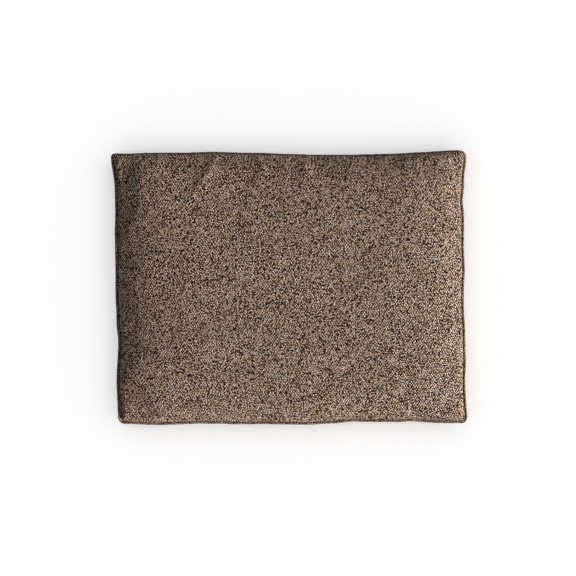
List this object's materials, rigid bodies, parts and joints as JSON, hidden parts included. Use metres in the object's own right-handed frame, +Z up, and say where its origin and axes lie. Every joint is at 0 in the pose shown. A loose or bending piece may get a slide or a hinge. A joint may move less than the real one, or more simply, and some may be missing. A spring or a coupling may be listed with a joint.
{
  "type": "pet cushion bed",
  "caption": "Flat boxed floor cushion for a pet to lie on, with piped edges, a crowned top and a zipped removable cover round a foam inner cushion.",
  "frame": {"origin": "middle of the underside, on the floor", "axes": "+X along the long side, +Y towards the zipped back side, +Z up"},
  "size_m": [0.9, 0.7, 0.128],
  "materials": {
    "tweed": "coarse brown-grey tweed with light and rust flecks",
    "piping_tweed": "the same tweed cut on the bias round a cord",
    "base_canvas": "plain dark brown canvas with small rubbery grip dots",
    "filler_cord": "twisted white cotton cord",
    "zip_tape": "dark brown herringbone tape",
    "zip_coil": "dark brown nylon coil",
    "zip_metal": "nickel-plated die casting, slightly worn",
    "ticking": "off-white plain ticking",
    "wadding": "white bonded polyester wadding",
    "foam": "cream open-cell foam",
    "label": "plain off-white satin tape with nothing on it"
  },
  "bodies": {
    "cushion": {"cover_top_panel": "tweed", "cover_base_panel": "base_canvas", "cover_border_front": "tweed", "cover_border_left": "tweed", "cover_border_right": "tweed", "zip_strip_upper": "tweed", "zip_strip_lower": "tweed", "top_piping_cover": "piping_tweed", "base_piping_cover": "piping_tweed", "top_piping_cord": "filler_cord", "base_piping_cord": "filler_cord", "care_label": "label", "zip_tape_upper": "zip_tape", "zip_tape_lower": "zip_tape", "zip_coil_upper": "zip_coil", "zip_coil_lower": "zip_coil", "zip_top_stops": "zip_metal", "zip_bottom_stop": "zip_metal", "inner_case_top": "ticking", "inner_case_base": "ticking", "inner_case_border": "ticking", "wadding_top": "wadding", "wadding_base": "wadding", "comfort_foam": "foam", "foam_core": "foam"},
    "slider": {"zip_slider_body": "zip_metal", "zip_slider_crown": "zip_metal"},
    "pull": {"zip_pull_tab": "zip_metal"}
  },
  "joints": [
    {"name": "zip_travel", "type": "slide", "parent": "cushion", "child": "slider", "axis": [-1, 0, 0], "range_m": [0, 0.7725]},
    {"name": "pull_swing", "type": "hinge", "parent": "slider", "child": "pull", "pos_m": [0.3837, 0.34655, 0.04902], "axis": [0, 0, -1], "range_deg": [0, 175]}
  ]
}
